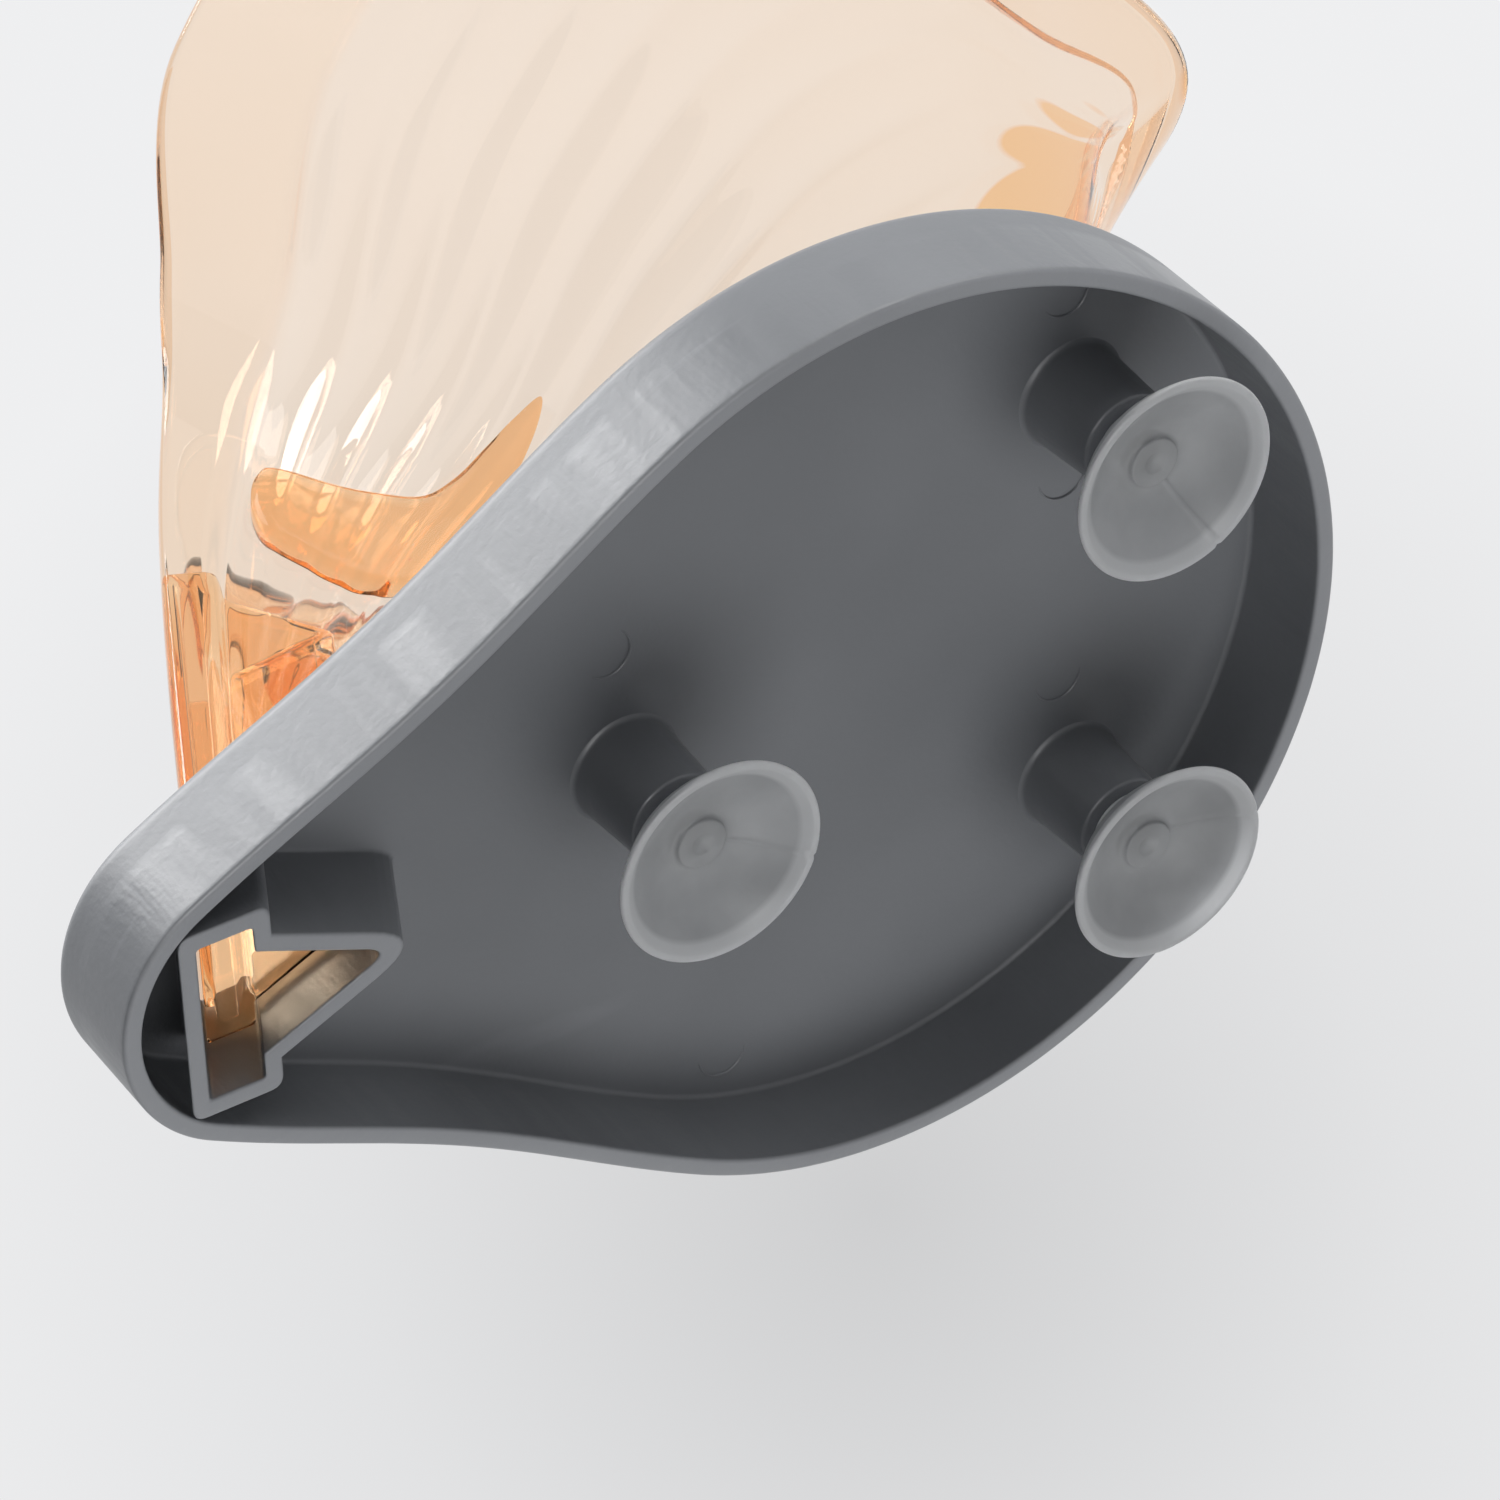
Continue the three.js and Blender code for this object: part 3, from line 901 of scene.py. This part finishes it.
def makeLeaf():
    rows, columns = leaf["rows"], leaf["columns"]
    t = np.linspace(0, 1, columns + 1)
    u = np.linspace(0, 1, rows + 1)
    ends = innerEnd(np.maximum(t, t[1]))
    uGrid, tGrid = np.meshgrid(u, t, indexing="ij")
    outer = leafSkin(uGrid, tGrid, 0.0)
    inner = leafSkin(uGrid * ends, tGrid, 1.0)
    for skin in (outer, inner):
        skin[-1, :, 1] = 0
        skin[:, 0, 1] = 0
    # the rim is closed by a low round from the outer edge to the inner one
    turn = np.linspace(0, np.pi, leaf["rimSteps"] + 2)[1:-1]
    middle = (outer[:, -1] + inner[:, -1]) / 2
    toOuter = (outer[:, -1] - inner[:, -1]) / 2
    rise = outer[:, -1] - outer[:, -2]
    rise = rise / np.maximum(np.linalg.norm(rise, axis=-1, keepdims=True), 1e-12) * 0.7 * mm
    cap = middle[:, None] + toOuter[:, None] * np.cos(turn)[:, None] + rise[:, None] * np.sin(turn)[:, None]
    cap[-1, :, 1] = 0
    half = np.concatenate([outer, cap, inner[:, ::-1]], 1)
    # the outer skin carries its flutes as a mark, for the toothed edge of the bow's tint
    marks = np.full(half.shape[:2], leaf["unmarked"])
    marks[:, : columns + 1] = np.where(t < leaf["bandStart"], fluteWave(t), 0.5)
    marks[:, columns + 1 : columns + 1 + leaf["rimSteps"]] = leaf["rimMark"]
    mirrored = half * np.array([1, -1, 1])
    width = half.shape[1]
    left = gridFaces(rows + 1, width)
    right = gridFaces(rows + 1, width)[:, ::-1]
    # the foot of the neck, from the outer skin across to the inner one
    i = np.arange(columns)
    foot = np.stack([i, i + 1, width - 2 - i, width - 1 - i], -1)
    left = np.concatenate([left, foot])
    right = np.concatenate([right, foot[:, ::-1]])
    points, faces = stackGrids([(half, left), (mirrored, right)])
    marks = np.stack([marks, marks])
    return makePiece("amber_leaf", points, faces, leafPaint, "dish", "amber_plastic", ["leaf_dish"], marks)


makeLeaf()


# Gussets: a thick two-winged patch on each side of the neck, under the bowl.
gusset = {
    "outline": [
        (0.191, 0.798), (0.209, 0.795), (0.223, 0.767), (0.241, 0.65), (0.262, 0.55), (0.283, 0.483),
        (0.313, 0.456), (0.35, 0.446), (0.378, 0.436), (0.399, 0.414), (0.37, 0.385), (0.32, 0.36),
        (0.26, 0.36), (0.215, 0.40), (0.187, 0.494), (0.176, 0.587), (0.172, 0.665), (0.169, 0.741),
        (0.177, 0.78),
    ],
    "centre": (0.24, 0.44),
    "proud": 1.4 * mm,
    "sunk": 0.9 * mm,
    "steps": 220,
}


def closedSpline(points, steps):
    points = np.asarray(points, float)
    place = np.linspace(0, len(points), steps, endpoint=False)
    i = place.astype(int)
    s = (place - i)[:, None]
    p0, p1, p2, p3 = (points[(i + k) % len(points)] for k in (-1, 0, 1, 2))
    return splinePart(p0, p1, p2, p3, s)


def makeGussets():
    edge = closedSpline(gusset["outline"], gusset["steps"])
    centre = np.array(gusset["centre"])
    proud, sunk = gusset["proud"], -gusset["sunk"]
    shares = [0.01, 0.3, 0.6, 0.8, 0.9, 0.95, 0.985, 1.0, 1.0, 0.97, 0.7, 0.35, 0.01]
    heights = [proud] * 5 + [proud * 0.97, proud * 0.85, proud * 0.6] + [sunk] * 5
    place = centre + (edge - centre) * np.array(shares)[:, None, None]
    u, t = place[..., 0], place[..., 1]
    points = leafPlain(u, t) + leafNormal(u, t) * np.array(heights)[:, None, None]
    faces = gridFaces(len(shares), gusset["steps"], closeColumns=True)
    stack = stackGrids([(points, faces), (points * np.array([1, -1, 1]), faces[:, ::-1])])
    return makePiece("amber_gussets", *stack, gussetPaint, "dish", "amber_plastic", [])


makeGussets()


# Camera: the photograph's view, from below the floor up at the underside.
view = {
    "place": (-0.231063, -0.326002, -0.346969),
    "turn": (142.93762, 32.38714, 1.55162),
    "lens": 36 * 6805.3 / 1500,
}


def makeCamera():
    data = bpy.data.cameras.new("camera")
    data.lens = view["lens"]
    data.sensor_width = 36
    data.clip_start = 0.01
    data.clip_end = 20
    camera = bpy.data.objects.new("camera", data)
    camera.location = view["place"]
    camera.rotation_euler = Euler([math.radians(a) for a in view["turn"]])
    bpy.context.scene.collection.objects.link(camera)
    bpy.context.scene.camera = camera
    return camera


camera = makeCamera()


# Stage: a floor seen only from above and a backdrop seen only from its front, so that the view from
# below is clear. Neither stops the lamps.
stageLook = {
    "pale": (0.83, 0.835, 0.85, 1),
    "glow": 0.6,
    "floorSize": 3.0,
    "backSize": 3.0,
    "backAway": 0.085,
    "shadowAt": (0.012, -0.043),
    "shadowTones": [(0.0, 0.62), (0.13, 0.67), (0.33, 0.76), (0.7, 0.86)],
    "shadowReach": 0.15,
}


def stagePaint(name, share, shadowAt=None):
    # pale and partly self-lit; a soft shadow may be laid round one point of it
    paint = Paint(bpy.data.materials.new(name))
    path = "ShaderNodeLightPath"
    tone = stageLook["pale"]
    if shadowAt is not None:
        away = paint.node(
            "ShaderNodeVectorMath", {"operation": "DISTANCE"}, {0: paint.place(), 1: shadowAt}, "Value"
        )
        tones = [(at, (value, value * 1.004, value * 1.016, 1)) for at, value in stageLook["shadowTones"]]
        tone = paint.ramp(away * (1 / stageLook["shadowReach"]), tones)
    pale = paint.node("ShaderNodeBsdfDiffuse", {}, {"Color": stageLook["pale"]})
    glow = paint.node("ShaderNodeEmission", {}, {"Color": tone, "Strength": 1.0})
    lit = paint.node("ShaderNodeMixShader", {}, {0: share, 1: pale, 2: glow})
    clear = paint.node("ShaderNodeBsdfTransparent")
    behind = paint.node("ShaderNodeNewGeometry", output="Backfacing")
    shadow = paint.node(path, output="Is Shadow Ray")
    scattered = paint.node(path, output="Is Diffuse Ray")
    adding = {"operation": "ADD", "use_clamp": True}
    hidden = paint.node("ShaderNodeMath", adding, {0: behind, 1: shadow + scattered})
    return paint.finish(paint.node("ShaderNodeMixShader", {}, {0: hidden, 1: lit, 2: clear}))


def stagePlane(name, centre, right, up, size, paint):
    right, up = np.asarray(right, float), np.asarray(up, float)
    steps = np.linspace(-size / 2, size / 2, 9)
    a, b = np.meshgrid(steps, steps, indexing="ij")
    points = np.asarray(centre, float) + a[..., None] * right + b[..., None] * up
    mesh = bpy.data.meshes.new(name)
    mesh.from_pydata(points.reshape(-1, 3).tolist(), [], gridFaces(9, 9).tolist())
    normal = np.array(mesh.polygons[0].normal)
    if normal @ np.cross(right, up) < 0:
        mesh.flip_normals()
    plane = bpy.data.objects.new(name, mesh)
    bpy.context.scene.collection.objects.link(plane)
    mesh.materials.append(paint)
    return plane


turned = camera.rotation_euler.to_matrix()
camRight, camUp, camBack = (np.array(turned.col[i]) for i in range(3))
floorPaint = stagePaint("paleFloor", stageLook["glow"])
stagePlane("floor", (0, 0, -0.0002), (1, 0, 0), (0, 1, 0), stageLook["floorSize"], floorPaint)
objectMiddle = np.array((cadBox[0] + cadBox[1]) / 2)
backCentre = objectMiddle - camBack * stageLook["backAway"]
sight = np.array(view["place"])
backMiddle = sight - camBack * ((sight - backCentre) @ camBack)
shadowAt = backMiddle + camRight * stageLook["shadowAt"][0] + camUp * stageLook["shadowAt"][1]
backPaint = stagePaint("paleBackdrop", 1.0, shadowAt.tolist())
stagePlane("backdrop", backCentre, camRight, camUp, stageLook["backSize"], backPaint)


room = {"light": 0.24, "seen": 0.85}


def makeWorld():
    # an even pale room, brighter where it is seen straight or through the clear plastic
    paint = Paint(bpy.data.worlds.new("paleRoom"))
    path = "ShaderNodeLightPath"
    straight = paint.node(path, output="Is Camera Ray")
    through = paint.node(path, output="Is Transmission Ray")
    seen = paint.clamped(straight + through)
    strength = room["light"] + (room["seen"] - room["light"]) * seen
    background = paint.node("ShaderNodeBackground", {}, {"Color": stageLook["pale"], "Strength": strength})
    bpy.context.scene.world = paint.finish(background, output="ShaderNodeOutputWorld")


makeWorld()

# lamps by the camera's right, up and back directions from the object's middle
lamps = {
    "key": {"at": (-0.26, 0.225, -0.03), "sizes": (0.26, 0.26), "power": 1.8},
    "streak": {"at": (-0.015, -0.03, 0.295), "sizes": (0.03, 0.34), "power": 0.5, "glossOnly": True},
    "fill": {"at": (0.3, 0.95, 0.25), "sizes": (1.0, 1.0), "power": 9.0},
    "front": {"at": (0.36, -0.74, 0.48), "sizes": (0.8, 0.8), "power": 4.2},
}


def makeLamp(name, look):
    # an elliptical lamp aimed at the object's middle, its local y along the camera's right
    data = bpy.data.lights.new(name, "AREA")
    data.shape = "ELLIPSE"
    data.size, data.size_y = look["sizes"]
    data.energy = look["power"]
    lamp = bpy.data.objects.new(name, data)
    away = np.array(look["at"]) @ np.array([camRight, camUp, camBack])
    backward = Vector(away).normalized()
    sideways = Vector(camRight).cross(backward).normalized()
    turn = Matrix((sideways, backward.cross(sideways), backward)).transposed()
    lamp.location = objectMiddle + away
    lamp.rotation_euler = turn.to_euler()
    lamp.visible_camera = False
    lamp.visible_diffuse = not look.get("glossOnly")
    bpy.context.scene.collection.objects.link(lamp)


for name, look in lamps.items():
    makeLamp(name, look)

overhead = {"place": (0.1, 0.15, 1.0), "size": 1.0, "power": 5.0}


def makeOverhead():
    # a round lamp above, for the views from over the floor
    data = bpy.data.lights.new("overhead", "AREA")
    data.shape = "DISK"
    data.size = overhead["size"]
    data.energy = overhead["power"]
    lamp = bpy.data.objects.new("overhead", data)
    lamp.location = overhead["place"]
    bpy.context.scene.collection.objects.link(lamp)


makeOverhead()

bpy.context.scene.view_settings.view_transform = "Standard"
